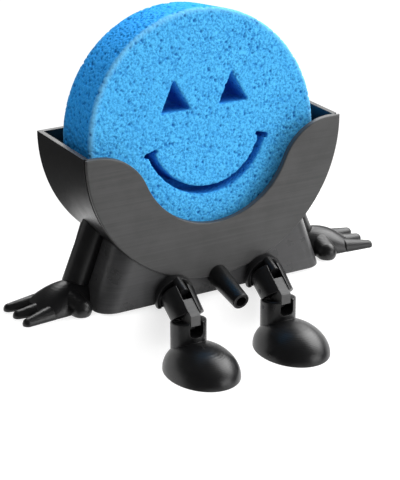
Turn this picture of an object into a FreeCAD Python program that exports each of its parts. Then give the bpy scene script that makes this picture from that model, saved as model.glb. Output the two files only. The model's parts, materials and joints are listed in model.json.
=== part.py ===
import FreeCAD, Part
import math
import os

os.makedirs("parts", exist_ok=True)

# Lengths are in millimetres and angles in degrees. X runs to the right of someone who faces
# the holder, Y runs away from them and Z runs up. The origin lies on the plane that the holder
# sits on, under the middle of the bowl's depth.

# Bowl: a half cylinder along Y with a closed back
bowl_radius = 62.0
bowl_depth = 47.0
bowl_wall = 2.2
bowl_floor_height = 7.5
rim_rise = 1.2

# Front panel: a half disc with a round scoop between two rounded ears
panel_thickness = 2.6
panel_band = 25.0
ear_radius = 25.0
groove_width = 1.3
groove_depth = 1.3
groove_break = 0.35
panel_round = 0.6

# Rails that keep the sponge off the bowl's floor and off its back wall
rail_thickness = 2.4
rail_angles = (-36.0, -12.0, 12.0, 36.0)
rail_height = 9.0
back_rib_spacing = 50.0
back_rib_foot = 20.0
sponge_seat_gap = 0.3

# Pedestal: a flared skirt that carries the bowl
pedestal_inset = 5.5
pedestal_side_slope = 20.0
pedestal_corner_radius = 8.0
pedestal_wall = 2.4
pedestal_block_height = 34.0
pedestal_setback = 1.4
saddle_wall = 1.6

# Plate that closes the pedestal, and the screws that hold it
plate_thickness = 1.6
plate_clearance = 0.15
post_radius = 3.6
post_side_inset = 13.5
post_end_inset = 9.1
screw_shank_radius = 1.45
screw_length = 9.0
screw_head_radius = 2.7
screw_head_height = 1.2
screw_slot_width = 0.7
screw_slot_depth = 0.5

# Drain spout: a tapered tube with a spigot that is pushed through to the bowl's floor
spout_height = 7.5
spout_fall = 15.0
spout_length = 20.0
spout_root_radius = 4.7
spout_tip_radius = 3.8
spout_bore_radius = 2.4
spout_root_overlap = 4.0
spigot_radius = 3.4
spigot_length = 12.0
spigot_clearance = 0.05
drain_run = 20.0
spout_lip_round = 0.5

# Arms and hands, drawn for the right side
arm_radius = 6.0
wrist_out = 1.2
wrist_height = 7.5
arm_lean = 23.0
wrist_socket_clearance = 0.1
palm_out = (-3.7, 4.3, 12.3, 21.3)
palm_y = (-1.5, -2.5, -3.1, -3.3)
palm_half_width = (7.5, 10.5, 11.4, 11.0)
palm_height = (9.0, 10.6, 9.2, 3.6)
palm_steps = 12
finger_root_out = 17.3
finger_root_y = (3.8, -4.0, -10.8)
finger_tip_out = (29.3, 28.8, 28.6)
finger_tip_y = (4.4, -4.2, -13.6)
finger_root_radius = 4.2
finger_tip_radius = 2.4
finger_root_height = 0.6
finger_tip_height = 0.6
thumb_root_out = 6.3
thumb_root_y = -6.0
thumb_tip_out = 4.7
thumb_tip_y = -15.4
thumb_root_radius = 5.6
thumb_tip_radius = 4.6
thumb_root_height = 3.6
thumb_tip_height = 2.6

# Hip: a dome-shaped hood with a flat foot that swivels on the pedestal's front, with a lug and a stop peg
leg_spacing = 45.2
hip_height = 4.0
hood_gap = 0.3
hood_radius = 9.3
hood_drop = 0.6
hood_foot_drop = 4.2
hood_neck_radius = 6.9
hood_wall = 1.3
hood_floor = 0.8
hood_edge_reach = 2.4
hood_edge_tilt = 8.0
socket_clearance = 0.3
lug_width = 4.4
lug_radius = 2.4
swivel_radius = 1.6
swivel_clearance = 0.05
swivel_end_play = 0.3
peg_radius = 2.1
peg_length = 12.0
peg_end_along = 0.75
peg_end_above = 6.3
peg_fall = 25.0
hip_screw_head_radius = 2.1
hip_screw_head_height = 1.6
hip_screw_shank_radius = 0.8
hip_screw_shank_length = 4.0
hip_screw_slot_width = 0.6
hip_screw_slot_depth = 0.6

# Thigh: a slotted, slightly tapered cylinder that turns on a pin in the hood's lug
hip_pin_reach = 5.6
hip_pin_drop = 0.5
hip_pin_radius = 1.2
pin_clearance = 0.03
thigh_slope = 36.9
thigh_length = 9.6
thigh_rim_back = 3.5
thigh_rim_round = 1.2
thigh_rim_radius = 7.6
thigh_knee_radius = 7.3
thigh_end = 8.9
thigh_end_tilt = 13.9
thigh_slot_width = 5.0
thigh_slot_floor = 3.6
thigh_slot_floor_start = 3.0
knee_gap = 0.3
swing_up = 12.0
swing_down = 8.0

# Knee tongue: a flat bar with one bend, pinned in the thigh and hinged in the boot
tongue_width = 4.6
tongue_offset = 6.4
tongue_top_along = 4.1
tongue_step_along = 2.9
tongue_step_above = 1.8
tongue_under = 3.2
tongue_inner_along = 7.1
tongue_front_drop = 1.5
tongue_lug_radius = 2.2
knee_drop = 3.4
tongue_pin_along = 5.4
tongue_pin_radius = 1.2
knee_pin_radius = 1.1
pin_blind_depth = 3.0

# Boot: a slotted shaft on a domed shoe
shaft_radius = 7.8
shaft_top_drop = 0.8
shaft_top_slope = 10.0
shaft_top_round = 0.8
boot_slot_width = 6.4
boot_slot_drop = 6.4
boot_slot_corner = 2.0
boot_slot_back = 3.6
boot_half_width = 15.5
boot_half_length = 20.1
boot_dome_height = 12.4
boot_sole_round = 1.8
boot_sole_drop = 1.1
boot_forward = 11.0
boot_drop = 20.8

# Sponge: a foam disc that leans back in the bowl, with a cut-out face
sponge_side_gap = 5.2
sponge_back_room = 9.5
sponge_lean = 7.0
sponge_setback = 11.1
sponge_sink = 1.4
sponge_edge_round = 1.2
eye_spacing = 28.2
eye_base_width = 15.4
eye_height = 14.3
eye_base_rise = 12.3
smile_radius = 28.9
smile_centre_rise = 5.4
smile_half_angle = 71.5
smile_width = 3.8
smile_depth = 15.0
dimple_length = 6.8
dimple_width = 2.4
face_offset = 0.9

# Length by which a cutting shape runs past the solid that it cuts
overrun = 5.0

front_y = -bowl_depth / 2
back_y = bowl_depth / 2
panel_back_y = front_y + panel_thickness
bowl_axis_height = bowl_radius + bowl_floor_height
rim_z = bowl_axis_height + rim_rise
inner_radius = bowl_radius - bowl_wall
scoop_radius = bowl_radius - panel_band
sponge_radius = inner_radius - sponge_side_gap
sponge_thickness = bowl_depth - sponge_setback - sponge_back_room
pedestal_half_width = bowl_radius - pedestal_inset
pedestal_front_y = front_y + pedestal_setback
pedestal_back_y = back_y - pedestal_setback
post_x = pedestal_half_width - post_side_inset
post_y = pedestal_back_y - post_end_inset
wrist_x = pedestal_half_width + wrist_out
half_turn = 180.0

Vector = FreeCAD.Vector
AXIS_X = Vector(1, 0, 0)
AXIS_Y = Vector(0, 1, 0)
AXIS_Z = Vector(0, 0, 1)


def sine(angle):
    return math.sin(math.radians(angle))


def cosine(angle):
    return math.cos(math.radians(angle))


def tangent(angle):
    return math.tan(math.radians(angle))


def rod(radius, start, end):
    """A cylinder from one point to another."""
    run = end.sub(start)
    return Part.makeCylinder(radius, run.Length, start, run)


def block(low, high):
    """A box between two opposite corners."""
    size = high.sub(low)
    return Part.makeBox(size.x, size.y, size.z, low)


def prism(points, sweep):
    """A closed polygon moved along a vector."""
    return Part.Face(Part.makePolygon(points + points[:1])).extrude(sweep)


def room_beyond(point, facing, half):
    """A large box on the facing side of a plane through a point."""
    room = Part.makeBox(2 * half, 2 * half, 2 * half)
    room.translate(Vector(-half, -half, 0))
    turn = FreeCAD.Rotation(AXIS_Z, facing)
    room.Placement = FreeCAD.Placement(point, turn) * room.Placement
    return room


def arc(start, middle, end):
    return Part.Arc(start, middle, end).toShape()


def mirrored(shape):
    """The same shape on the other side of the middle plane."""
    return shape.mirror(Vector(0, 0, 0), AXIS_X)


def one_solid(shape):
    """The single solid inside a boolean result."""
    clean = shape.removeSplitter()
    return clean.Solids[0] if len(clean.Solids) == 1 else clean


def save(name, shape):
    shape.exportStep("parts/" + name + ".step")


def bowl_cylinder(radius, start_y, end_y):
    """A cylinder about the bowl's axis."""
    return rod(radius, Vector(0, start_y, bowl_axis_height), Vector(0, end_y, bowl_axis_height))


def below_rim(shape):
    low = Vector(-bowl_radius - overrun, front_y - overrun, -overrun)
    high = Vector(bowl_radius + overrun, back_y + overrun, rim_z)
    return shape.common(block(low, high))


def spout_point(back):
    """A point on the spout's axis, a distance behind the panel's front face."""
    return Vector(0, front_y + back * cosine(spout_fall), spout_height + back * sine(spout_fall))


def spigot_hole():
    radius = spigot_radius + spigot_clearance
    return rod(radius, spout_point(-overrun), spout_point(spigot_length + spigot_clearance))


def drain_bore(start, end):
    return rod(spout_bore_radius, spout_point(start), spout_point(end))


def sponge_centre():
    """The middle of the sponge's front face."""
    return Vector(0, front_y + sponge_setback, bowl_axis_height - sponge_sink)


def sponge_inward():
    """The direction from the sponge's front face to its back face."""
    return Vector(0, cosine(sponge_lean), -sine(sponge_lean))


def sponge_up():
    return Vector(0, sine(sponge_lean), cosine(sponge_lean))


def sponge_place(right, up, depth):
    """A point of the sponge: right and up on its face, and a depth behind that face."""
    across = AXIS_X * right
    return sponge_centre() + across + sponge_up() * up + sponge_inward() * depth


def sponge_envelope():
    """The room that the sponge takes in the bowl, with its seat gap, open to the front."""
    radius = sponge_radius + sponge_seat_gap
    front = sponge_place(0, 0, -bowl_depth)
    return rod(radius, front, sponge_place(0, 0, sponge_thickness + sponge_seat_gap))


def floor_rail(angle):
    """A radial rail along the bowl's floor, topped by the sponge's own curve."""
    top = bowl_axis_height - inner_radius + rail_height
    foot = bowl_axis_height - inner_radius - bowl_wall / 2
    low = Vector(-rail_thickness / 2, panel_back_y, foot)
    high = Vector(rail_thickness / 2, back_y - bowl_wall / 2, top)
    rail = block(low, high)
    rail.rotate(Vector(0, 0, bowl_axis_height), AXIS_Y, angle)
    return rail


def back_rib(x):
    """An upright rib on the back wall that the leaning sponge rests on."""
    low = Vector(x - rail_thickness / 2, back_y - back_rib_foot, bowl_axis_height - inner_radius)
    high = Vector(x + rail_thickness / 2, back_y - bowl_wall / 2, rim_z)
    return block(low, high)


def bowl_shell():
    shell = bowl_cylinder(bowl_radius, panel_back_y, back_y)
    shell = shell.cut(bowl_cylinder(inner_radius, front_y, back_y - bowl_wall))
    shell = below_rim(shell)
    front_edges = [edge for edge in shell.Edges if is_outer_arc(edge, panel_back_y)]
    shell = shell.makeChamfer(groove_break, front_edges)
    ribs = [floor_rail(angle) for angle in rail_angles]
    ribs += [back_rib(side * back_rib_spacing / 2) for side in (-1, 1)]
    inside = bowl_cylinder(inner_radius + bowl_wall / 2, panel_back_y, back_y - bowl_wall / 2)
    behind = sponge_place(0, 0, sponge_thickness + sponge_seat_gap)
    in_front = room_beyond(behind, -sponge_inward(), bowl_radius)
    for index, rib in enumerate(ribs):
        rib = rib.common(inside)
        is_rail = index < len(rail_angles)
        rib = rib.cut(sponge_envelope() if is_rail else in_front)
        shell = shell.fuse(rib)
    shell = shell.cut(spigot_hole())
    return one_solid(shell.cut(drain_bore(0, drain_run)))


def is_outer_arc(edge, y):
    """True for the bowl-sized arc edge that lies in the plane at this y."""
    curve = edge.Curve
    if not isinstance(curve, Part.Circle):
        return False
    return abs(curve.Radius - bowl_radius) < groove_break and abs(curve.Center.y - y) < groove_break


def panel_point(x, z):
    return Vector(x, front_y, bowl_axis_height + z)


def front_panel():
    rim_x = math.sqrt(bowl_radius ** 2 - rim_rise ** 2)
    ear_z = rim_rise - ear_radius
    reach = scoop_radius + ear_radius
    ear_x = math.sqrt(reach ** 2 - ear_z ** 2)
    meet_x = ear_x * scoop_radius / reach
    meet_z = ear_z * scoop_radius / reach
    turn = (math.degrees(math.atan2(-ear_z, -ear_x)) + half_turn / 2) / 2
    bulge_x = ear_x + ear_radius * cosine(turn)
    bulge_z = ear_z + ear_radius * sine(turn)
    edges = [
        arc(panel_point(rim_x, rim_rise), panel_point(0, -bowl_radius), panel_point(-rim_x, rim_rise)),
        Part.LineSegment(panel_point(-rim_x, rim_rise), panel_point(-ear_x, rim_rise)).toShape(),
        arc(panel_point(-ear_x, rim_rise), panel_point(-bulge_x, bulge_z), panel_point(-meet_x, meet_z)),
        arc(panel_point(-meet_x, meet_z), panel_point(0, -scoop_radius), panel_point(meet_x, meet_z)),
        arc(panel_point(meet_x, meet_z), panel_point(bulge_x, bulge_z), panel_point(ear_x, rim_rise)),
        Part.LineSegment(panel_point(ear_x, rim_rise), panel_point(rim_x, rim_rise)).toShape(),
    ]
    panel = Part.Face(Part.Wire(edges)).extrude(AXIS_Y * panel_thickness)
    groove_y = panel_back_y - groove_width
    groove = bowl_cylinder(bowl_radius + overrun, groove_y, panel_back_y + overrun)
    groove = groove.cut(bowl_cylinder(bowl_radius - groove_depth, groove_y, panel_back_y + overrun))
    panel = panel.cut(groove)
    front_edges = [e for e in panel.Edges if abs(e.BoundBox.YMax - front_y) < groove_break]
    panel = panel.makeFillet(panel_round, front_edges)
    return one_solid(panel.cut(spigot_hole()))


def skirt(inset, top):
    """The pedestal's flared block, drawn in by an inset on its four sides."""
    foot = pedestal_half_width - inset / cosine(pedestal_side_slope)
    head = foot - top * tangent(pedestal_side_slope)
    start = pedestal_front_y + inset
    depth = pedestal_back_y - pedestal_front_y - 2 * inset
    outline = [Vector(-foot, start, 0), Vector(foot, start, 0)]
    outline += [Vector(head, start, top), Vector(-head, start, top)]
    solid = prism(outline, AXIS_Y * depth)
    corners = [edge for edge in solid.Edges if is_corner(edge, top)]
    return solid.makeFillet(pedestal_corner_radius - inset, corners)


def is_corner(edge, top):
    """True for the sloping edges that run from the foot of a block to its top."""
    return abs(edge.BoundBox.ZLength - top) < groove_break


def pedestal_outside():
    around_bowl = bowl_cylinder(bowl_radius, front_y - overrun, back_y + overrun)
    return skirt(0, pedestal_block_height).cut(around_bowl)


def post_places():
    return [Vector(side * post_x, end * post_y, 0) for side in (-1, 1) for end in (-1, 1)]


def hip_centre(side):
    """The middle of the hip pin, ahead of the panel and below the swivel axis."""
    return Vector(side * leg_spacing / 2, front_y - hip_pin_reach, hip_height - hip_pin_drop)


def pedestal():
    cavity = skirt(pedestal_wall, pedestal_block_height)
    cavity = cavity.cut(bowl_cylinder(bowl_radius + saddle_wall, front_y - overrun, back_y + overrun))
    for place in post_places():
        top = place + AXIS_Z * pedestal_block_height
        cavity = cavity.cut(rod(post_radius, place + AXIS_Z * plate_thickness, top))
    body = pedestal_outside().cut(cavity)
    for place in post_places():
        body = body.cut(rod(screw_shank_radius, place, place + AXIS_Z * screw_length))
    for side in (-1, 1):
        end = at_y(hood_centre(side), pedestal_front_y + pedestal_wall + overrun)
        start = at_y(end, pedestal_front_y - overrun)
        body = body.cut(rod(swivel_radius + swivel_clearance, start, end))
    return one_solid(body.cut(spigot_hole()))


def base_plate():
    inset = pedestal_wall + plate_clearance
    half = pedestal_half_width - inset / cosine(pedestal_side_slope)
    half -= plate_thickness * tangent(pedestal_side_slope)
    low = Vector(-half, pedestal_front_y + inset, 0)
    plate = block(low, Vector(half, pedestal_back_y - inset, plate_thickness))
    uprights = [edge for edge in plate.Edges if is_corner(edge, plate_thickness)]
    plate = plate.makeFillet(pedestal_corner_radius - inset, uprights)
    for place in post_places():
        plate = plate.cut(screw_body(place))
    return one_solid(plate)


def screw_body(place):
    """A countersunk screw with its flat head level with the plate's face."""
    head_top = place + AXIS_Z * screw_head_height
    head = Part.makeCone(screw_head_radius, screw_shank_radius, screw_head_height, place, AXIS_Z)
    return head.fuse(rod(screw_shank_radius, head_top, place + AXIS_Z * screw_length))


def base_screw(place):
    half_slot = Vector(screw_head_radius, screw_slot_width / 2, 0)
    slot = block(place - half_slot, place + half_slot + AXIS_Z * screw_slot_depth)
    return one_solid(screw_body(place).cut(slot))


def drain_spout():
    tip = spout_point(-spout_length)
    slope = (spout_root_radius - spout_tip_radius) / spout_length
    root_radius = spout_root_radius + slope * spout_root_overlap
    length = spout_length + spout_root_overlap
    nozzle = Part.makeCone(spout_tip_radius, root_radius, length, tip, spout_point(0).sub(tip))
    nozzle = nozzle.makeFillet(spout_lip_round, [nozzle.Edges[edge_at(nozzle, tip)]])
    nozzle = nozzle.cut(bowl_cylinder(bowl_radius, front_y, panel_back_y + overrun))
    nozzle = nozzle.cut(skirt(0, pedestal_block_height))
    spigot = rod(spigot_radius, spout_point(0), spout_point(spigot_length))
    inside = bowl_cylinder(inner_radius, panel_back_y, back_y)
    spout = nozzle.fuse(spigot.cut(inside))
    return one_solid(spout.cut(drain_bore(-spout_length - overrun, drain_run)))


def edge_at(shape, centre):
    """The place in the list of edges of the circle that is nearest to a centre."""
    gaps = []
    for edge in shape.Edges:
        is_circle = isinstance(edge.Curve, Part.Circle)
        gaps.append(edge.Curve.Center.distanceToPoint(centre) if is_circle else math.inf)
    return gaps.index(min(gaps))


def wrist_point(up):
    """A point on the right arm's axis, a distance up from the wrist."""
    return Vector(wrist_x - up * sine(arm_lean), 0, wrist_height + up * cosine(arm_lean))


def arm_rod(radius):
    """A rod along the right arm, from the wrist to well inside the bowl."""
    return rod(radius, wrist_point(0), wrist_point(bowl_radius))


def arm():
    tube = arm_rod(arm_radius).cut(bowl_cylinder(bowl_radius, front_y, back_y))
    return one_solid(tube.cut(skirt(0, pedestal_block_height)))


def palm_section(out, y, half_width, height):
    """The palm's outline at a distance out from the wrist: an arched back on a flat underside."""
    x = wrist_x + out
    points = []
    for step in range(palm_steps + 1):
        angle = half_turn * step / palm_steps
        points.append(Vector(x, y + half_width * cosine(angle), height * sine(angle)))
    arch = Part.BSplineCurve()
    arch.interpolate(points)
    return Part.Wire([arch.toShape(), Part.LineSegment(points[-1], points[0]).toShape()])


def digit(root, root_radius, tip, tip_radius):
    """A finger that tapers from its root to a ball at its tip."""
    run = tip.sub(root)
    cone = Part.makeCone(root_radius, tip_radius, run.Length, root, run)
    return cone.fuse(Part.makeSphere(tip_radius, tip))


def hand():
    sections = [palm_section(*values) for values in zip(palm_out, palm_y, palm_half_width, palm_height)]
    shape = Part.makeLoft(sections, True)
    for root_y, tip_out, tip_y in zip(finger_root_y, finger_tip_out, finger_tip_y):
        root = Vector(wrist_x + finger_root_out, root_y, finger_root_height)
        tip = Vector(wrist_x + tip_out, tip_y, finger_tip_height)
        shape = shape.fuse(digit(root, finger_root_radius, tip, finger_tip_radius))
    root = Vector(wrist_x + thumb_root_out, thumb_root_y, thumb_root_height)
    tip = Vector(wrist_x + thumb_tip_out, thumb_tip_y, thumb_tip_height)
    shape = shape.fuse(digit(root, thumb_root_radius, tip, thumb_tip_radius))
    reach = Vector(2 * bowl_radius, bowl_depth, 0)
    shape = shape.cut(block(-reach - AXIS_Z * 2 * arm_radius, reach))
    shape = shape.cut(arm_rod(arm_radius + wrist_socket_clearance))
    return one_solid(shape.cut(skirt(0, pedestal_block_height)))


def thigh_along():
    """The direction of the thigh, from the hip to the knee."""
    return Vector(0, -cosine(thigh_slope), -sine(thigh_slope))


def thigh_above():
    """The direction square to the thigh, up and to the front."""
    return Vector(0, -sine(thigh_slope), cosine(thigh_slope))


def leg_point(side, along, above):
    return hip_centre(side) + thigh_along() * along + thigh_above() * above


def knee_bend(side):
    """The point where the thigh's axis meets the boot shaft's axis."""
    return leg_point(side, thigh_length, 0)


def knee_centre(side):
    return knee_bend(side) - AXIS_Z * knee_drop


def cross_rod(radius, centre, low, high):
    """A rod across the leg, between two offsets along X."""
    return rod(radius, centre + AXIS_X * low, centre + AXIS_X * high)


def leg_slab(points, width):
    """A profile in the leg's middle plane, thickened to a width."""
    shift = AXIS_X * (width / 2)
    return prism([point - shift for point in points], AXIS_X * width)


def hood_centre(side):
    """The middle of the hood's back, on the swivel axis and a gap ahead of the panel."""
    return Vector(side * leg_spacing / 2, front_y - hood_gap, hip_height)


def swivel_end_y():
    """How far back the hood's swivel stub reaches inside the pedestal."""
    return pedestal_front_y + pedestal_wall + swivel_end_play


def at_y(point, y):
    """The same point, moved along Y."""
    return Vector(point.x, y, point.z)


def hood_edge(side):
    """The point where the hood's open edge crosses the swivel axis."""
    return hood_centre(side) - AXIS_Y * hood_edge_reach


def hood_edge_facing(swing):
    """The direction from the hood's open edge into the hood, turned by a swing of the leg."""
    angle = hood_edge_tilt + swing
    return Vector(0, cosine(angle), sine(angle))


def hip_lug(side, floor_y):
    """The plate that stands out from the hood's floor and carries the hip pin."""
    pin = hip_centre(side)
    half = lug_width / 2
    low = pin - Vector(half, 0, lug_radius)
    high = at_y(pin + Vector(half, 0, lug_radius), floor_y)
    return block(low, high).fuse(cross_rod(lug_radius, pin, -half, half))


def hood_ball(side, radius):
    """A ball about the middle of the hood's dome, which lies below the swivel axis."""
    return Part.makeSphere(radius, hood_centre(side) - AXIS_Z * hood_drop)


def hip_hood(side):
    centre = hood_centre(side)
    room = 2 * hood_radius
    floor = centre - AXIS_Y * hood_floor
    inside_floor = centre - AXIS_Y * (hood_floor / 2)
    behind_edge = room_beyond(hood_edge(side), hood_edge_facing(0), room)
    below_foot = room_beyond(centre - AXIS_Z * (hood_drop + hood_foot_drop), -AXIS_Z, room)
    outside = hood_ball(side, hood_radius).cut(room_beyond(centre, AXIS_Y, room)).cut(below_foot)
    hollow = hood_ball(side, hood_radius - hood_wall).cut(room_beyond(floor, AXIS_Y, room))
    shell = outside.common(behind_edge).cut(hollow)
    neck = rod(hood_neck_radius, inside_floor, at_y(centre, pedestal_front_y - hood_gap))
    peg_end = leg_point(side, peg_end_along, peg_end_above)
    peg_run = Vector(0, cosine(peg_fall), sine(peg_fall)) * peg_length
    peg = rod(peg_radius, peg_end, peg_end + peg_run)
    core = hood_ball(side, hood_radius - hood_wall / 2).cut(room_beyond(inside_floor, AXIS_Y, room))
    peg = peg.cut(behind_edge.cut(core))
    stub_end = at_y(centre, swivel_end_y())
    stub = rod(swivel_radius, inside_floor, stub_end)
    hood = shell.fuse([neck, hip_lug(side, inside_floor.y), peg, stub])
    hood = hood.cut(rod(hip_screw_shank_radius, stub_end - AXIS_Y * hip_screw_shank_length, stub_end))
    pin_hole = cross_rod(hip_pin_radius + pin_clearance, hip_centre(side), -hood_radius, hood_radius)
    return one_solid(hood.cut(pin_hole))


def hip_screw(side):
    centre = hood_centre(side)
    seat = at_y(centre, swivel_end_y())
    shank = rod(hip_screw_shank_radius, seat - AXIS_Y * hip_screw_shank_length, seat)
    top = seat + AXIS_Y * hip_screw_head_height
    head = rod(hip_screw_head_radius, seat, top)
    half_slot = Vector(hip_screw_head_radius, 0, hip_screw_slot_width / 2)
    slot = block(top - half_slot - AXIS_Y * hip_screw_slot_depth, top + half_slot)
    return one_solid(shank.fuse(head).cut(slot))


def thigh_cone(side, start, end):
    """The thigh's tapered outside between two places along it."""
    span = thigh_end + thigh_rim_back
    slope = (thigh_knee_radius - thigh_rim_radius) / span
    low = thigh_rim_radius + slope * (start + thigh_rim_back)
    high = thigh_rim_radius + slope * (end + thigh_rim_back)
    return Part.makeCone(low, high, end - start, leg_point(side, start, 0), thigh_along())


def thigh(side):
    pin = hip_centre(side)
    reach = 2 * thigh_rim_radius
    far = thigh_length + thigh_rim_radius
    shape = thigh_cone(side, -thigh_rim_back, far)
    rim = shape.Edges[edge_at(shape, leg_point(side, -thigh_rim_back, 0))]
    shape = shape.makeFillet(thigh_rim_round, [rim])
    end_facing = thigh_along() * cosine(thigh_end_tilt) - thigh_above() * sine(thigh_end_tilt)
    shape = shape.cut(room_beyond(leg_point(side, thigh_end, 0), end_facing, reach))
    knee_facing = -shaft_top_facing()
    shape = shape.cut(room_beyond(shaft_top(side) - knee_facing * knee_gap, knee_facing, reach))
    back_reach = hood_edge(side).sub(pin).dot(hood_edge_facing(0)) - socket_clearance
    for swing in (swing_up, -swing_down):
        facing = hood_edge_facing(swing)
        shape = shape.cut(room_beyond(pin + facing * back_reach, facing, reach))
    slot = [
        leg_point(side, -reach, -reach),
        leg_point(side, thigh_slot_floor_start, -reach),
        leg_point(side, thigh_slot_floor_start, -thigh_slot_floor),
        leg_point(side, far, -thigh_slot_floor),
        leg_point(side, far, reach),
        leg_point(side, -reach, reach),
    ]
    shape = shape.cut(leg_slab(slot, thigh_slot_width))
    return one_solid(shape.cut(hip_pin(side)).cut(tongue_pin(side)))


def inner_side_pin(side, radius, centre, body_radius):
    """A cross pin, blind on the leg's outer side and past its round inner side."""
    ends = sorted((-side * body_radius, side * (body_radius - pin_blind_depth)))
    return cross_rod(radius, centre, ends[0], ends[1])


def thigh_pin(side, radius, along):
    """A cross pin of the thigh, level with the thigh's round inner side."""
    pin = inner_side_pin(side, radius, leg_point(side, along, 0), thigh_rim_radius)
    return pin.common(thigh_cone(side, -thigh_length, 2 * thigh_length))


def hip_pin(side):
    return thigh_pin(side, hip_pin_radius, 0)


def tongue_pin(side):
    return thigh_pin(side, tongue_pin_radius, tongue_pin_along)


def knee_pin(side):
    centre = knee_centre(side)
    pin = inner_side_pin(side, knee_pin_radius, centre, shaft_radius)
    reach = AXIS_Z * shaft_radius
    return pin.common(rod(shaft_radius, centre - reach, centre + reach))


def knee_tongue(side):
    bend = knee_bend(side)
    knee = knee_centre(side)
    front = AXIS_Y * -tongue_offset
    fold_rise = tongue_offset * tangent((half_turn / 2 - thigh_slope) / 2)
    back_bend = leg_point(side, tongue_inner_along, -tongue_under)
    outline = [
        leg_point(side, tongue_top_along, tongue_offset),
        bend + front + AXIS_Z * fold_rise,
        bend + front - AXIS_Z * tongue_front_drop,
        knee + AXIS_Y * -tongue_lug_radius + AXIS_Z * (knee_drop - tongue_front_drop),
        knee + AXIS_Y * -tongue_lug_radius,
        knee + AXIS_Y * tongue_lug_radius,
        Vector(knee.x, knee.y + tongue_lug_radius, back_bend.z),
        back_bend,
        leg_point(side, tongue_step_along, -tongue_under),
        leg_point(side, tongue_step_along, tongue_step_above),
        leg_point(side, tongue_top_along, tongue_step_above + tongue_top_along - tongue_step_along),
    ]
    half = tongue_width / 2
    shape = leg_slab(outline, tongue_width).fuse(cross_rod(tongue_lug_radius, knee, -half, half))
    shape = shape.cut(tongue_pin(side))
    hole = cross_rod(knee_pin_radius + pin_clearance, knee, -tongue_width, tongue_width)
    return one_solid(shape.cut(hole))


def dome(centre, height):
    """A half ellipsoid over the sole's outline, up or down from the shoe's widest level."""
    ball = Part.makeSphere(boot_half_width)
    corner = Vector(boot_half_width, boot_half_width, 0)
    rise = AXIS_Z * boot_half_width
    half = block(-corner, corner + rise) if height > 0 else block(-corner - rise, corner)
    stretch = FreeCAD.Matrix()
    stretch.scale(1, boot_half_length / boot_half_width, abs(height) / boot_half_width)
    shape = ball.common(half).transformGeometry(stretch)
    shape.translate(centre)
    return shape


def is_low_run(edge, z):
    """True for a straight edge along Y at a low level."""
    return edge.BoundBox.ZMax < z + boot_slot_corner and edge.BoundBox.YLength > boot_slot_width


def shaft_top(side):
    """The point where the shaft's axis meets its sloping top."""
    return knee_bend(side) - AXIS_Z * shaft_top_drop


def shaft_top_facing():
    return Vector(0, sine(shaft_top_slope), cosine(shaft_top_slope))


def is_shaft_rim(edge, bend):
    """True for the sloping edge round the top of the boot's shaft."""
    high = bend.z - shaft_radius
    return edge.BoundBox.ZMin > high and edge.BoundBox.XLength > shaft_radius


def boot(side):
    bend = knee_bend(side)
    centre = bend - AXIS_Y * boot_forward - AXIS_Z * boot_drop
    shoe = dome(centre, boot_dome_height).fuse(dome(centre, -boot_sole_round))
    under = Vector(boot_half_width, boot_half_length, boot_sole_round) * 2
    cut_high = centre + Vector(under.x, under.y, -boot_sole_drop)
    shoe = shoe.cut(block(centre - under, cut_high))
    shaft = rod(shaft_radius, Vector(bend.x, bend.y, centre.z), bend + AXIS_Z * shaft_radius)
    run = 2 * shaft_radius
    shaft = shaft.cut(room_beyond(shaft_top(side), shaft_top_facing(), run))
    rim = [edge for edge in shaft.Edges if is_shaft_rim(edge, bend)]
    shaft = shaft.makeFillet(shaft_top_round, rim)
    shape = shoe.fuse(shaft)
    slot_z = bend.z - boot_slot_drop
    half = boot_slot_width / 2
    slot_back = bend.y + boot_slot_back
    slot_front = bend.y - run
    low = Vector(bend.x - half, slot_front, slot_z)
    slot = block(low, Vector(bend.x + half, slot_back, slot_z + run))
    slot = slot.makeFillet(boot_slot_corner, [edge for edge in slot.Edges if is_low_run(edge, slot_z)])
    return one_solid(shape.cut(slot).cut(knee_pin(side)))


def face_place(right, up):
    """A point over the sponge's front face, measured from the middle of the cut-out face."""
    return sponge_place(face_offset + right, up, -overrun)


def face_prism(points):
    """A face outline on the sponge, cut right through it."""
    depth = sponge_thickness + 2 * overrun
    return prism([face_place(x, z) for x, z in points], sponge_inward() * depth)


def smile_place(radius, angle):
    """A point on the smile, where angle zero is straight down from the arc's centre."""
    return face_place(radius * sine(angle), smile_centre_rise - radius * cosine(angle))


def smile_slot():
    outer = smile_radius + smile_width / 2
    inner = smile_radius - smile_width / 2
    left, right = -smile_half_angle, smile_half_angle
    edges = [
        arc(smile_place(outer, left), smile_place(outer, 0), smile_place(outer, right)),
        Part.LineSegment(smile_place(outer, right), smile_place(inner, right)).toShape(),
        arc(smile_place(inner, right), smile_place(inner, 0), smile_place(inner, left)),
        Part.LineSegment(smile_place(inner, left), smile_place(outer, left)).toShape(),
    ]
    return Part.Face(Part.Wire(edges)).extrude(sponge_inward() * (overrun + smile_depth))


def dimple(angle):
    """The short stroke that crosses each end of the smile."""
    half_stroke = math.degrees(dimple_width / 2 / smile_radius)
    points = []
    for outward, turn in ((-1, -1), (1, -1), (1, 1), (-1, 1)):
        reach = smile_radius + outward * dimple_length / 2
        points.append(smile_place(reach, angle + turn * half_stroke))
    return prism(points, sponge_inward() * (overrun + smile_depth))


def sponge():
    disc = rod(sponge_radius, sponge_place(0, 0, 0), sponge_place(0, 0, sponge_thickness))
    rims = [edge for edge in disc.Edges if isinstance(edge.Curve, Part.Circle)]
    disc = disc.makeFillet(sponge_edge_round, rims)
    half = eye_base_width / 2
    for side in (-1, 1):
        middle = side * eye_spacing / 2
        base = eye_base_rise
        eye = [(middle - half, base), (middle + half, base), (middle, base + eye_height)]
        disc = disc.cut(face_prism(eye))
        disc = disc.cut(dimple(side * smile_half_angle))
    return one_solid(disc.cut(smile_slot()))


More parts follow.
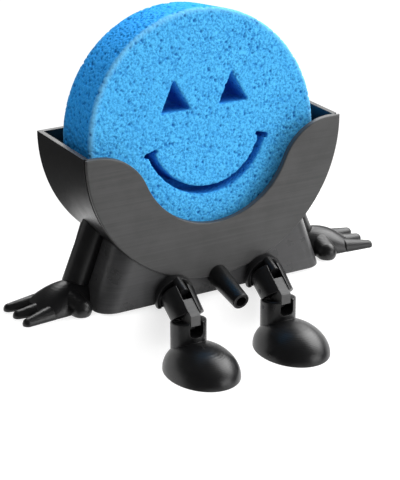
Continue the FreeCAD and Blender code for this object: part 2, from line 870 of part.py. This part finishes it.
save("bowl_shell", bowl_shell())
save("front_panel", front_panel())
save("pedestal", pedestal())
save("base_plate", base_plate())
for number, place in enumerate(post_places()):
    save("base_screw_" + str(number + 1), base_screw(place))
save("drain_spout", drain_spout())
save("arm_right", arm())
save("arm_left", mirrored(arm()))
save("hand_right", hand())
save("hand_left", mirrored(hand()))
for side, name in ((-1, "left"), (1, "right")):
    save("hip_hood_" + name, hip_hood(side))
    save("hip_screw_" + name, hip_screw(side))
    save("hip_pin_" + name, hip_pin(side))
    save("thigh_" + name, thigh(side))
    save("tongue_pin_" + name, tongue_pin(side))
    save("knee_tongue_" + name, knee_tongue(side))
    save("knee_pin_" + name, knee_pin(side))
    save("boot_" + name, boot(side))
save("sponge", sponge())
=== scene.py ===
# %% [markdown]
# # A sponge holder that sits like a figure on a ledge
# A black bowl stands on a flared base, leans on two hands and dangles two jointed legs over the edge
# of a sink. A round foam sponge stands in the bowl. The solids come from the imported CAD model, in
# metres, already in place. This lesson gives them their finishes, and makes the soft sponge anew.

# %% Load the frame
import json
import bmesh
import bpy
import numpy as np
from mathutils import Matrix


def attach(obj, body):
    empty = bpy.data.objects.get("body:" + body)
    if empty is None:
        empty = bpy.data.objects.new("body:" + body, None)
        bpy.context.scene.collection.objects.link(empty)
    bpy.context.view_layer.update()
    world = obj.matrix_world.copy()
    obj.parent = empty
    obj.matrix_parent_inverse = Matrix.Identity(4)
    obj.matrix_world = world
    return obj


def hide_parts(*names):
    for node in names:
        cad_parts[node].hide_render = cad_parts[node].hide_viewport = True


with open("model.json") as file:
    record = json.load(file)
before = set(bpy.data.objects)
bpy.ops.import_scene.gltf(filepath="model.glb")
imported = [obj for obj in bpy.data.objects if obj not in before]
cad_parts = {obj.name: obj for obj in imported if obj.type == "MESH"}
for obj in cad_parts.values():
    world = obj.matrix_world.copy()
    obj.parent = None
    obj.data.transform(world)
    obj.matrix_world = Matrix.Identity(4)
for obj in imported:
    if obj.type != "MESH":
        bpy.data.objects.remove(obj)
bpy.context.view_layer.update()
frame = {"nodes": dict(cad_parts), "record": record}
millimetre = 0.001

# %% [markdown]
# ## Two small tools for every finish
# A colour is given as an sRGB hex value, while a shader works in linear light, so one function
# turns one into the other. A material is a handful of nodes, and one more function adds a node, sets
# its options and fills its sockets, either with a value or with a link from another node.


# %% Colour and node tools
def linear(hex_colour):
    """Linear RGBA from an sRGB hex value: a straight line near black, a 2.4 power above it."""
    srgb = np.array([int(hex_colour[i:i + 2], 16) for i in (1, 3, 5)]) / 255
    rgb = np.where(srgb <= 0.04045, srgb / 12.92, ((srgb + 0.055) / 1.055) ** 2.4)
    return (*rgb.tolist(), 1.0)


def add_node(tree, kind, inputs=None, **settings):
    """Adds one node; inputs are socket values, or the outputs of other nodes to link from."""
    node = tree.nodes.new(kind)
    for name, value in settings.items():
        setattr(node, name, value)
    for socket, value in (inputs or {}).items():
        if isinstance(value, bpy.types.NodeSocket):
            tree.links.new(value, node.inputs[socket])
        else:
            node.inputs[socket].default_value = value
    return node


def new_material(name):
    """An empty node material, with its tree and its output node."""
    material = bpy.data.materials.new(name)
    material.use_nodes = True
    material.node_tree.nodes.clear()
    return material, material.node_tree, material.node_tree.nodes.new("ShaderNodeOutputMaterial")


# %% [markdown]
# ## Black PLA, laid down in layers
# The holder is printed from a plastic thread, layer on layer, so its walls carry faint level lines
# and its domes show terraces. Modelling each layer would take millions of faces. A wave along Z in
# the bump gives the ridges, a noise that is stretched along the layers gives the streaks, and a
# bevel in the shading finds the edges, which get a painted highlight: a lighter colour mixed in.

# %% Printed plastic
layer_height = 0.55 * millimetre    # a real layer is 0.2 mm, too fine to show at this distance
blotch_size = 9 * millimetre
edge_width = 0.45 * millimetre
streak_length = 40 * millimetre
streak_height = layer_height / 0.7
ridge_height = 0.06 * millimetre


def printed_plastic(name, colour, edge_highlight_colour, roughness, ridge):
    """PLA printed in layers: satin, with level ridges, streaks, faint blotches and painted highlights on
    the edges.
    """
    material, tree, output = new_material(name)
    place = add_node(tree, "ShaderNodeTexCoord").outputs["Object"]
    # A wave's bands repeat every 2 pi / 20 units at scale 1
    bands = add_node(tree, "ShaderNodeTexWave", {
        "Vector": place, "Scale": 2 * np.pi / 20 / layer_height, "Distortion": 0.6,
        "Detail": 1.0, "Detail Scale": 0.05}, bands_direction="Z")
    along_layers = add_node(tree, "ShaderNodeMapping", {
        "Vector": place, "Scale": (1 / streak_length, 1 / streak_length, 1 / streak_height)})
    streaks = add_node(tree, "ShaderNodeTexNoise", {
        "Vector": along_layers.outputs["Vector"], "Scale": 1.0, "Detail": 3.0, "Roughness": 0.6})
    blotches = add_node(tree, "ShaderNodeTexNoise", {
        "Vector": place, "Scale": 1 / blotch_size, "Detail": 4.0, "Roughness": 0.55})
    shade = add_node(tree, "ShaderNodeMath", {
        0: streaks.outputs["Fac"], 1: blotches.outputs["Fac"]}, operation="ADD")
    share = add_node(tree, "ShaderNodeMapRange", {
        "Value": shade.outputs["Value"], "From Min": 0.75, "From Max": 1.25})
    dark = [0.82 * value for value in linear(colour)[:3]] + [1.0]
    light = [1.2 * value for value in linear(colour)[:3]] + [1.0]
    tone = add_node(tree, "ShaderNodeMix", {
        0: share.outputs["Result"], 6: dark, 7: light}, data_type="RGBA")
    rounded = add_node(tree, "ShaderNodeBevel", {"Radius": edge_width}, samples=4)
    surface = add_node(tree, "ShaderNodeNewGeometry")
    agree = add_node(tree, "ShaderNodeVectorMath", {
        0: rounded.outputs["Normal"], 1: surface.outputs["Normal"]}, operation="DOT_PRODUCT")
    # Painted highlight: where the bevelled normal leaves the true one, up to 0.55 of the lighter edge
    # colour is mixed in.
    edge = add_node(tree, "ShaderNodeMapRange", {
        "Value": agree.outputs["Value"], "From Min": 0.99, "From Max": 0.86,
        "To Min": 0.0, "To Max": 0.55})
    edge_highlighted = add_node(tree, "ShaderNodeMix", {
        0: edge.outputs["Result"], 6: tone.outputs[2], 7: linear(edge_highlight_colour)}, data_type="RGBA")
    gloss = add_node(tree, "ShaderNodeMapRange", {
        "Value": blotches.outputs["Fac"], "From Min": 0.3, "From Max": 0.7,
        "To Min": roughness - 0.05, "To Max": roughness + 0.06})
    relief = add_node(tree, "ShaderNodeBump", {
        "Height": bands.outputs["Fac"], "Strength": ridge, "Distance": ridge_height,
        "Normal": rounded.outputs["Normal"]})
    shader = add_node(tree, "ShaderNodeBsdfPrincipled", {
        "Base Color": edge_highlighted.outputs[2], "Roughness": gloss.outputs["Result"],
        "Normal": relief.outputs["Normal"], "IOR": 1.46})
    tree.links.new(shader.outputs["BSDF"], output.inputs["Surface"])
    return material


black_pla = printed_plastic("black_pla_printed", "#101011", "#303030", 0.32, 0.30)
panel_pla = printed_plastic("dark_grey_pla_printed", "#3c3c3c", "#585858", 0.42, 0.25)
base_pla = printed_plastic("charcoal_pla_printed", "#3c3c3d", "#505050", 0.30, 0.30)
tongue_pla = printed_plastic("mid_grey_pla_printed", "#4c4c4c", "#6a6a6a", 0.45, 0.25)
print("plastics made:", black_pla.name, panel_pla.name, base_pla.name, tongue_pla.name)

# %% [markdown]
# ## Black-oxide steel
# The screws and pins are turned on a lathe and blackened in a hot bath. Most of each sits inside the
# plastic, and only ends and heads show, as dark dots. Fine rings from the tool break the reflection,
# so the roughness varies with a noise at the width of a tool mark.

# %% Blackened steel
tool_mark = 0.25 * millimetre
steel, steel_tree, steel_output = new_material("black_oxide_steel_turned")
steel_place = add_node(steel_tree, "ShaderNodeTexCoord").outputs["Object"]
marks = add_node(steel_tree, "ShaderNodeTexNoise", {
    "Vector": steel_place, "Scale": 1 / tool_mark, "Detail": 2.0})
steel_gloss = add_node(steel_tree, "ShaderNodeMapRange", {
    "Value": marks.outputs["Fac"], "To Min": 0.28, "To Max": 0.5})
steel_shader = add_node(steel_tree, "ShaderNodeBsdfPrincipled", {
    "Base Color": linear("#2c2c2e"), "Metallic": 1.0, "Roughness": steel_gloss.outputs["Result"]})
steel_tree.links.new(steel_shader.outputs["BSDF"], steel_output.inputs["Surface"])
print("metal made:", steel.name)

# %% Give each solid its finish
finishes = {"black_plastic": black_pla, "panel_plastic": panel_pla,
            "tongue_plastic": tongue_pla, "steel": steel}
own_finish = {"pedestal": base_pla}    # its front looks lighter than the legs
for subpart in frame["record"]["subparts"]:
    solid = frame["nodes"][subpart["node"]]
    finish = own_finish.get(subpart["node"], finishes.get(subpart["material_slot"]))
    if finish:
        solid.material_slots[0].material = finish

# %% [markdown]
# ## The foam sponge
# Polyurethane foam is blown with gas and sliced, so every cut face opens bubbles. A smooth disc with
# a bump map keeps a clean outline that real foam never has. So the sponge starts from its CAD solid,
# is rebuilt as an even net of small faces, and each point is then pushed in where a bubble was cut.
# The bubbles are scattered one to a cell of a lattice, and each point looks for the nearest in the
# cells around it.


# %% Bubbles in space
def scattered(cells, seed):
    """Three repeatable numbers from 0 to 1 for each lattice cell: folded sines of large multiples."""
    mixing = np.array([[127.1, 269.5, 113.5], [311.7, 183.3, 271.9], [74.7, 246.1, 124.6]])
    return np.modf(np.abs(np.sin(cells @ mixing + seed)) * 43758.5453)[0]


def bubble_depth(points, spacing, radius, depth, seed):
    """How far each point lies inside a bubble: depth times one minus the square of the distance to
    the nearest bubble's centre over its radius, and zero outside. Sizes vary from cell to cell."""
    lattice = points / spacing
    home = np.floor(lattice)
    deepest = np.zeros(len(points))
    for step in np.ndindex(3, 3, 3):
        cells = home + np.array(step) - 1
        away = np.linalg.norm(lattice - cells - scattered(cells, seed), axis=1) * spacing
        size = radius * (0.55 + 0.9 * scattered(cells, seed + 7.7)[:, 0])
        deepest = np.maximum(deepest, np.clip(1 - (away / size) ** 2, 0, 1) * depth)
    return deepest


# %% Rebuild the solid as an even net
foam_net = 0.5 * millimetre
cad_copy = bmesh.new()
cad_copy.from_mesh(frame["nodes"]["sponge"].data)
bmesh.ops.remove_doubles(cad_copy, verts=cad_copy.verts, dist=0.001 * millimetre)
foam_start = bpy.data.meshes.new("sponge_start")
cad_copy.to_mesh(foam_start)
cad_copy.free()
builder = bpy.data.objects.new("sponge_builder", foam_start)
bpy.context.scene.collection.objects.link(builder)
net = builder.modifiers.new("net", "REMESH")
net.mode = "VOXEL"
net.voxel_size = foam_net * 1
built = builder.evaluated_get(bpy.context.evaluated_depsgraph_get())
foam_mesh = bpy.data.meshes.new_from_object(built)
bpy.data.objects.remove(builder)
foam_mesh.name = "sponge_foam"
print("foam points:", len(foam_mesh.vertices))

# %% Measure each point of the foam
outside_share = 0.9      # past this share of the radius a point is on the outer side, not in a cut
points = np.empty(len(foam_mesh.vertices) * 3)
foam_mesh.vertices.foreach_get("co", points)
points = points.reshape(-1, 3)
outward = np.empty(len(points) * 3)
foam_mesh.vertex_normals.foreach_get("vector", outward)
outward = outward.reshape(-1, 3)
lift = next(joint for joint in frame["record"]["behaviour"]["joints"] if joint["name"] == "sponge_lift")
face_normal = np.cross([1.0, 0.0, 0.0], lift["axis"])
from_centre = points - (points.max(axis=0) + points.min(axis=0)) / 2
along = from_centre @ face_normal
across = np.linalg.norm(from_centre - np.outer(along, face_normal), axis=1)
behind = np.abs(along).max() - np.abs(along)
on_outside = across > outside_share * across.max()
print("sponge across in mm:", round(2 * float(across.max()) / millimetre, 1))

# %% Open the bubbles
fine = bubble_depth(points, spacing=1.4 * millimetre, radius=0.6 * millimetre,
                    depth=0.3 * millimetre, seed=1.3)
large = bubble_depth(points, spacing=2.4 * millimetre, radius=0.66 * millimetre,
                     depth=0.6 * millimetre, seed=5.9)
skin_lift = 0.25 * millimetre     # walls between bubbles stand proud, so the foam keeps its size
cut_side = (1 - np.abs(outward @ face_normal)) * np.where(on_outside, 1.0, 0.6)
sunk = np.maximum(fine, large) * (1 + cut_side * on_outside) - skin_lift
foam_mesh.vertices.foreach_set("co", (points - outward * sunk[:, None]).ravel())
foam_mesh.shade_smooth()
print("deepest bubble in mm:", round(float(sunk.max()) / millimetre, 2))

# %% Mark each point for the colour
shadow_depth = 9 * millimetre
rim_width = 1.7 * millimetre
to_rim = np.hypot(across.max() - across, behind) / rim_width
# The colour reads these marks: bubble_depth, cut_side and in_cut steer painted shade, rim a painted
# highlight.
marks_on_foam = {"bubble_depth": np.maximum(fine / fine.max() * 0.3, large / large.max()),
                 "cut_side": cut_side,
                 "in_cut": np.clip(behind / shadow_depth, 0, 1) * ~on_outside,
                 "rim": np.exp(-to_rim ** 2)}
for mark, values in marks_on_foam.items():
    foam_mesh.attributes.new(mark, "FLOAT", "POINT").data.foreach_set("value", values.astype(np.float32))
foam_mesh.update()
sponge = bpy.data.objects.new("sponge_foam", foam_mesh)
bpy.context.scene.collection.objects.link(sponge)
print("marks on the foam:", ", ".join(marks_on_foam))

# %% [markdown]
# ## The foam's colour
# Foam is dyed through, and its open bubbles get painted shade, darker and richer than the walls
# between them. A picture could be laid on it, but it would stretch over the edge and into the cuts.
# So the colour follows the marks on each point: deeper bubbles, the outer side and the inside of the
# eyes and mouth get painted shade in richer blues, and the front edge, where light passes through,
# gets a paler painted highlight. A noise at the size of the foam's finest cells gives the grain.

# %% Dyed foam
cell_size = 1.0 * millimetre
cloud_size = 14 * millimetre
grain_height = 0.4 * millimetre
foam, foam_tree, foam_output = new_material("blue_polyurethane_foam_cut")
foam_place = add_node(foam_tree, "ShaderNodeTexCoord").outputs["Object"]
depth_read = add_node(foam_tree, "ShaderNodeAttribute", attribute_name="bubble_depth")
grain = add_node(foam_tree, "ShaderNodeTexNoise", {
    "Vector": foam_place, "Scale": 1 / cell_size, "Detail": 3.0, "Roughness": 0.65})
cloud = add_node(foam_tree, "ShaderNodeTexNoise", {
    "Vector": foam_place, "Scale": 1 / cloud_size, "Detail": 3.0})
grain_share = add_node(foam_tree, "ShaderNodeMapRange", {
    "Value": grain.outputs["Fac"], "From Min": 0.28, "From Max": 0.6})
wall_tone = add_node(foam_tree, "ShaderNodeMix", {
    0: grain_share.outputs["Result"], 6: linear("#0860b0"), 7: linear("#56bdf5")}, data_type="RGBA")
cloud_share = add_node(foam_tree, "ShaderNodeMapRange", {
    "Value": cloud.outputs["Fac"], "From Min": 0.35, "From Max": 0.65, "To Min": 0.0, "To Max": 0.3})
clouded = add_node(foam_tree, "ShaderNodeMix", {
    0: cloud_share.outputs["Result"], 6: wall_tone.outputs[2], 7: linear("#46a8e8")}, data_type="RGBA")
side_read = add_node(foam_tree, "ShaderNodeAttribute", attribute_name="cut_side")
# Painted shade: the outer side turns towards a more saturated blue, up to 0.62 of it.
side_shade_share = add_node(foam_tree, "ShaderNodeMapRange", {
    "Value": side_read.outputs["Fac"], "From Min": 0.2, "From Max": 0.9, "To Max": 0.62})
side_shaded = add_node(foam_tree, "ShaderNodeMix", {
    0: side_shade_share.outputs["Result"], 6: clouded.outputs[2], 7: linear("#109bfc")}, data_type="RGBA")
cut_read = add_node(foam_tree, "ShaderNodeAttribute", attribute_name="in_cut")
# Painted shade: deeper inside the eyes and mouth the colour turns towards navy, up to 0.85 of it.
cut_shade_share = add_node(foam_tree, "ShaderNodeMapRange", {
    "Value": cut_read.outputs["Fac"], "From Min": 0.1, "From Max": 1.0, "To Max": 0.85})
shaded = add_node(foam_tree, "ShaderNodeMix", {
    0: cut_shade_share.outputs["Result"], 6: side_shaded.outputs[2], 7: linear("#0560c8")}, data_type="RGBA")
rim_read = add_node(foam_tree, "ShaderNodeAttribute", attribute_name="rim")
# Painted highlight: near the front edge, up to 0.6 of a pale blue is mixed in.
rim_highlight_share = add_node(foam_tree, "ShaderNodeMapRange", {
    "Value": rim_read.outputs["Fac"], "From Min": 0.1, "From Max": 0.9, "To Max": 0.6})
rim_highlighted = add_node(foam_tree, "ShaderNodeMix", {
    0: rim_highlight_share.outputs["Result"], 6: shaded.outputs[2], 7: linear("#7cc8f6")}, data_type="RGBA")
# Painted shade: points deep in a bubble turn towards a dark navy, up to 0.85 of it.
bubble_shade_share = add_node(foam_tree, "ShaderNodeMapRange", {
    "Value": depth_read.outputs["Fac"], "From Min": 0.1, "From Max": 0.9, "To Max": 0.85})
foam_tone = add_node(foam_tree, "ShaderNodeMix", {
    0: bubble_shade_share.outputs["Result"], 6: rim_highlighted.outputs[2], 7: linear("#0b5098")}, data_type="RGBA")
foam_relief = add_node(foam_tree, "ShaderNodeBump", {
    "Height": grain.outputs["Fac"], "Strength": 0.6, "Distance": grain_height})
foam_shader = add_node(foam_tree, "ShaderNodeBsdfPrincipled", {
    "Base Color": foam_tone.outputs[2], "Roughness": 0.95, "Specular IOR Level": 0.1,
    "Sheen Weight": 0.12, "Sheen Tint": linear("#5cbcff"),
    "Normal": foam_relief.outputs["Normal"]})
foam_tree.links.new(foam_shader.outputs["BSDF"], foam_output.inputs["Surface"])
foam_mesh.materials.clear()
foam_mesh.materials.append(foam)
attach(sponge, "sponge")
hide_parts("sponge")
print("foam made:", foam.name)

# %% [markdown]
# ## A pale ledge
# The holder sits at the edge of a sink with its legs in front of it, so the stage is a step: a level
# top, a rounded edge under the pedestal's front, a drop, and a lower floor. One profile in Y and Z,
# carried along X, makes all of it. The top is narrow, so that little of it shows in the bowl's glossy
# wall, and the acrylic is lit from below, so that the floor stays white around a black object.


# %% Stage
def quarter(centre_y, centre_z, radius, start, end, steps=10):
    """Points on part of a circle in Y and Z, from one angle to another, in degrees."""
    turn = np.radians(np.linspace(start, end, steps))
    return np.stack([centre_y + radius * np.cos(turn), centre_z + radius * np.sin(turn)], axis=1)


ledge_back = 65 * millimetre
ledge_front = -22.2 * millimetre
ledge_round = 5 * millimetre
ledge_drop = 140 * millimetre
floor_front = -550 * millimetre
floor_round = 60 * millimetre
profile = np.concatenate([
    [[ledge_back, -ledge_drop], [ledge_back, 0.0]],
    quarter(ledge_front + ledge_round, -ledge_round, ledge_round, 90, 180),
    quarter(ledge_front - floor_round, floor_round - ledge_drop, floor_round, 0, -90),
    [[floor_front, -ledge_drop]]])
ledge_ends = np.array([-0.22, 0.5])
ledge_points = np.stack([np.repeat(ledge_ends[:, None], len(profile), axis=1),
                         np.tile(profile[:, 0], (2, 1)), np.tile(profile[:, 1], (2, 1))], axis=2)
first = np.arange(len(profile) - 1)
ledge_faces = np.stack([first, first + 1, first + 1 + len(profile), first + len(profile)], axis=1)
ledge_mesh = bpy.data.meshes.new("pale_ledge")
ledge_mesh.from_pydata(ledge_points.reshape(-1, 3).tolist(), [], ledge_faces.tolist())
ledge_mesh.shade_smooth()
ledge = bpy.data.objects.new("pale_ledge", ledge_mesh)
bpy.context.scene.collection.objects.link(ledge)
pale, pale_tree, pale_output = new_material("matt_white_acrylic_lit_from_below")
pale_shader = add_node(pale_tree, "ShaderNodeBsdfPrincipled", {
    "Base Color": linear("#b4b4b4"), "Roughness": 0.9,
    "Emission Color": (1.0, 1.0, 1.0, 1.0), "Emission Strength": 0.65})
pale_tree.links.new(pale_shader.outputs["BSDF"], pale_output.inputs["Surface"])
ledge_mesh.materials.append(pale)
print("ledge faces:", len(ledge_faces))

# %% [markdown]
# ## Light
# A dark satin shape shows its form by what it reflects. A wide softbox on the right, with a brighter
# core in it, draws the long highlights on the boots, tubes and thighs. A smaller box behind and a low
# card at the front right light the edges, and a low strip on the left draws a thin second highlight.
# Between them the plastic mirrors a dim room and stays black, while the camera sees a white one. The
# front and top lights only fill: reflections leave them out.


# %% Studio
light_target = np.array([0.0, -0.02, 0.04])


def softbox(name, azimuth, height_angle, distance, width, height, radiance, mirrored=True):
    """A rectangular area light that looks at the object. Its azimuth turns from the front to the
    right, in degrees, and its power is the wanted radiance times pi times its area."""
    side, rise = np.radians([azimuth, height_angle])
    back = np.array([np.sin(side) * np.cos(rise), -np.cos(side) * np.cos(rise), np.sin(rise)])
    right = np.cross([0, 0, 1], back)
    right = right / np.linalg.norm(right)
    place = light_target + back * distance
    light = bpy.data.lights.new(name, "AREA")
    light.shape, light.size, light.size_y = "RECTANGLE", width, height
    light.energy = radiance * np.pi * width * height
    lamp = bpy.data.objects.new(name, light)
    bpy.context.scene.collection.objects.link(lamp)
    axes = np.stack([right, np.cross(back, right), back, place], axis=1)
    lamp.matrix_world = Matrix([*axes.tolist(), [0, 0, 0, 1]])
    lamp.visible_glossy = mirrored
    return lamp


softbox("key_right", 112, 43, 1.0, 2.3, 0.95, 2.6)
softbox("key_core", 96, 43, 0.95, 0.75, 0.6, 4.4)
softbox("key_back", 156, 42, 1.0, 0.5, 0.6, 2.2)
softbox("card_right", 33, 8, 1.0, 0.7, 0.5, 3.6)
softbox("strip_left", -135, 7, 1.0, 0.9, 0.32, 0.5)
softbox("front_fill", -4, 32, 1.4, 1.0, 0.8, 1.4, mirrored=False)
softbox("top_fill", 0, 84, 1.3, 1.3, 1.3, 0.9, mirrored=False)
print("softboxes:", len(bpy.data.lights))

# %% A white surround that reflections see dimly
seen_white = 1.1
room_light = 0.3
mirrored_room = 0.08
world = bpy.data.worlds.new("white_surround")
world.use_nodes = True
bpy.context.scene.world = world
sky = world.node_tree
ray = add_node(sky, "ShaderNodeLightPath")
seen = add_node(sky, "ShaderNodeMath", {
    0: ray.outputs["Is Camera Ray"], 1: seen_white - room_light, 2: room_light}, operation="MULTIPLY_ADD")
strength = add_node(sky, "ShaderNodeMath", {
    0: ray.outputs["Is Glossy Ray"], 1: mirrored_room - room_light,
    2: seen.outputs["Value"]}, operation="MULTIPLY_ADD")
sky.links.new(strength.outputs["Value"], sky.nodes["Background"].inputs["Strength"])
sky.nodes["Background"].inputs["Color"].default_value = (1.0, 1.0, 1.0, 1.0)
bpy.context.scene.view_settings.view_transform = "Standard"
print("surround:", seen_white, room_light, mirrored_room)

# %% [markdown]
# ## The camera
# The place, turn and lens were fitted to the bowl's circles, the pedestal and the sponge in the
# picture, so the render lines up with it. The lens is long, and the frame needs no shift.

# %% Camera
eye = np.array([-0.34667, -0.60759, 0.29693])
turn, tilt, roll = np.radians([-30.027, 21.887, -0.189])
back = np.array([np.sin(turn) * np.cos(tilt), -np.cos(turn) * np.cos(tilt), np.sin(tilt)])
level = np.array([np.cos(turn), np.sin(turn), 0.0])
upright = np.cross(back, level)
right = np.cos(roll) * level + np.sin(roll) * upright
up = np.cos(roll) * upright - np.sin(roll) * level
lens = bpy.data.cameras.new("camera")
lens.lens = 127.3
camera = bpy.data.objects.new("camera", lens)
bpy.context.scene.collection.objects.link(camera)
camera.matrix_world = Matrix([*np.stack([right, up, back, eye], axis=1).tolist(), [0, 0, 0, 1]])
bpy.context.scene.camera = camera
print("lens in mm:", lens.lens)
